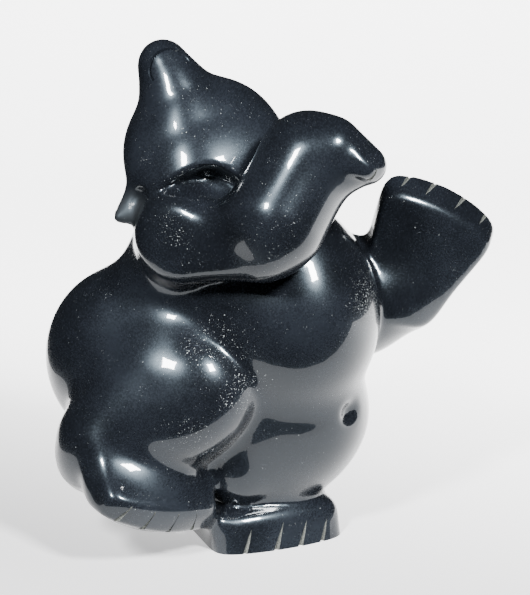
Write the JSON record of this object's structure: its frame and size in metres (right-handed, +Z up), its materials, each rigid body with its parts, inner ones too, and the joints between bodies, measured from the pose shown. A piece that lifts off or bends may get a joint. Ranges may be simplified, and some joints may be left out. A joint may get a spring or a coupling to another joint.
{
  "type": "dancing bear carving",
  "caption": "Dancing bear carved from one block of black stone, standing on one foot with its head thrown back and its arms raised.",
  "frame": {"origin": "centre of the bounding box at ground level, under the foot the bear stands on", "axes": "+Z up, -Y the side that the belly and the standing foot's toes face, +X towards the bear's left, where the held-out hand is"},
  "size_m": [0.178, 0.1094, 0.1963],
  "materials": {
    "soapstone": "polished to a high gloss, black with a few pale flecks and fine scratches, toe cuts left rough and grey"
  },
  "bodies": {
    "root": {"bear": "soapstone"}
  },
  "joints": []
}
